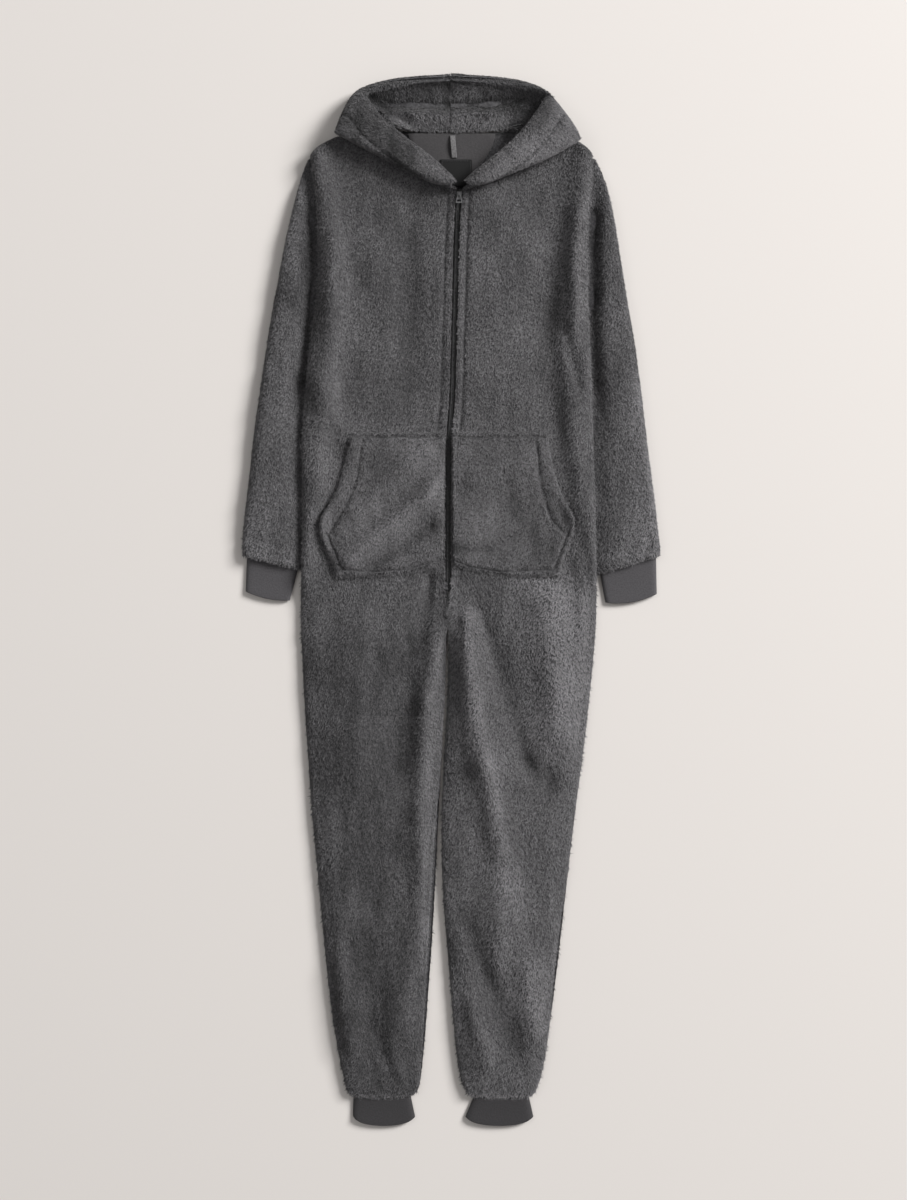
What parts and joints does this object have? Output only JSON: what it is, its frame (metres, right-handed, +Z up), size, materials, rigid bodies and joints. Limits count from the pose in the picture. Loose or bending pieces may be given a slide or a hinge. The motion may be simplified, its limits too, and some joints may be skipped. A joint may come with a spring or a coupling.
{
  "type": "hooded onesie pajama laid flat",
  "caption": "Hooded plush-fleece onesie laid out flat, face up, with a front zip, split front pocket and knitted wrist and ankle cuffs.",
  "frame": {"origin": "middle of the garment's outline, on the surface it lies on", "axes": "+Z up from the surface, +Y towards the hood, +X towards the wearer's left, which is the viewer's right"},
  "size_m": [0.6486, 1.627, 0.046],
  "materials": {
    "fleece": "deep plush pile, soft sheen",
    "jersey": "matt fine-rib jersey",
    "facing": "matt jersey",
    "label": "satin",
    "tape": "matt woven",
    "coil": "satin",
    "zip_metal": "satin black"
  },
  "bodies": {
    "garment": {"front_right": "fleece", "front_left": "fleece", "back_right": "fleece", "back_left": "fleece", "sleeve_right": "fleece", "sleeve_left": "fleece", "pocket_right": "fleece", "pocket_left": "fleece", "hood_outer_right": "fleece", "hood_outer_left": "fleece", "hood_lining_right": "fleece", "hood_lining_left": "fleece", "wrist_cuff_right": "jersey", "wrist_cuff_left": "jersey", "ankle_cuff_right": "jersey", "ankle_cuff_left": "jersey", "neck_facing": "facing", "hanger_loop": "facing", "neck_label": "label", "zip_tape_right": "tape", "zip_tape_left": "tape", "zip_chain": "coil", "zip_slider": "zip_metal"},
    "pull": {"zip_pull": "zip_metal"}
  },
  "joints": [
    {"name": "zip_pull_hinge", "type": "hinge", "parent": "garment", "child": "pull", "pos_m": [0.0117, 0.6255, 0.0228], "axis": [-1, 0, 0], "range_deg": [0, 160]}
  ]
}
